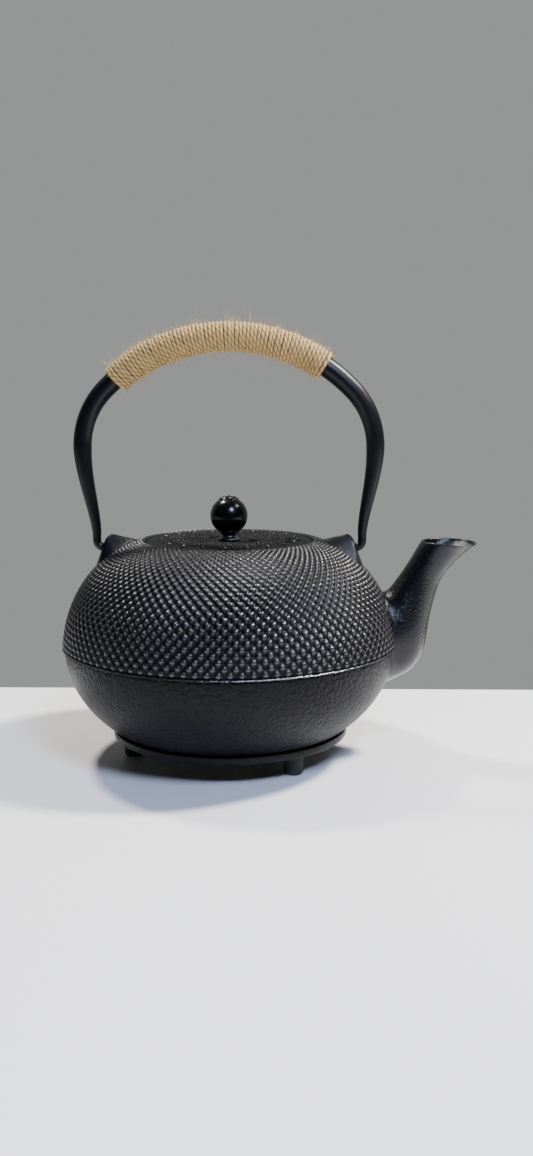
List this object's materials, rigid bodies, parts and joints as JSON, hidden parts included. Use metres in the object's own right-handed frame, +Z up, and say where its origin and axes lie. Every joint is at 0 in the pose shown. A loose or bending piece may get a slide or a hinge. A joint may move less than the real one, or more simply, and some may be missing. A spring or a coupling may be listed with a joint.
{
  "type": "cast iron teapot",
  "caption": "Round cast iron teapot with a dotted shoulder, curved spout, flat lid with ball knob, twine-wound swing bail handle, tea strainer and round footed trivet.",
  "frame": {"origin": "on the surface that the trivet's feet stand on, under the middle of the whole object's width with its spout", "axes": "+Z up, +X from the pot's axis towards the spout, the bail turns about X"},
  "size_m": [0.237, 0.1912, 0.2479],
  "materials": {
    "iron": "satin black enamel over cast texture",
    "trivet_iron": "satin black enamel",
    "knob_gloss": "gloss black enamel",
    "bail_satin": "satin black paint on forged steel",
    "twine": "twisted jute",
    "steel": "plain stainless",
    "rubber": "matt"
  },
  "bodies": {
    "trivet": {"trivet_plate": "trivet_iron", "trivet_foot_1": "rubber", "trivet_foot_2": "rubber", "trivet_foot_3": "rubber", "foot_screw_1": "steel", "foot_screw_2": "steel", "foot_screw_3": "steel"},
    "pot": {"pot_body": "iron"},
    "lid": {"lid_plate": "iron", "knob_neck": "knob_gloss", "knob_ball": "knob_gloss", "knob_washer": "steel", "knob_screw": "steel"},
    "strainer": {"strainer_rim": "steel", "strainer_basket": "steel"},
    "bail": {"bail_rod": "bail_satin", "twine_grip": "twine"}
  },
  "joints": [
    {"name": "pot_lift", "type": "slide", "parent": "trivet", "child": "pot", "axis": [0, 0, 1], "range_m": [0, 0.06]},
    {"name": "lid_lift", "type": "slide", "parent": "pot", "child": "lid", "axis": [0, 0, 1], "range_m": [0, 0.07]},
    {"name": "strainer_lift", "type": "slide", "parent": "pot", "child": "strainer", "axis": [0, 0, 1], "range_m": [0, 0.0651]},
    {"name": "bail_swing", "type": "hinge", "parent": "pot", "child": "bail", "pos_m": [-0.02291, 0, 0.12058], "axis": [1, 0, 0], "range_deg": [-100, 100]}
  ],
  "couplings": [
    {"joint": "strainer_lift", "follows": "lid_lift", "ratio": 0.93}
  ]
}
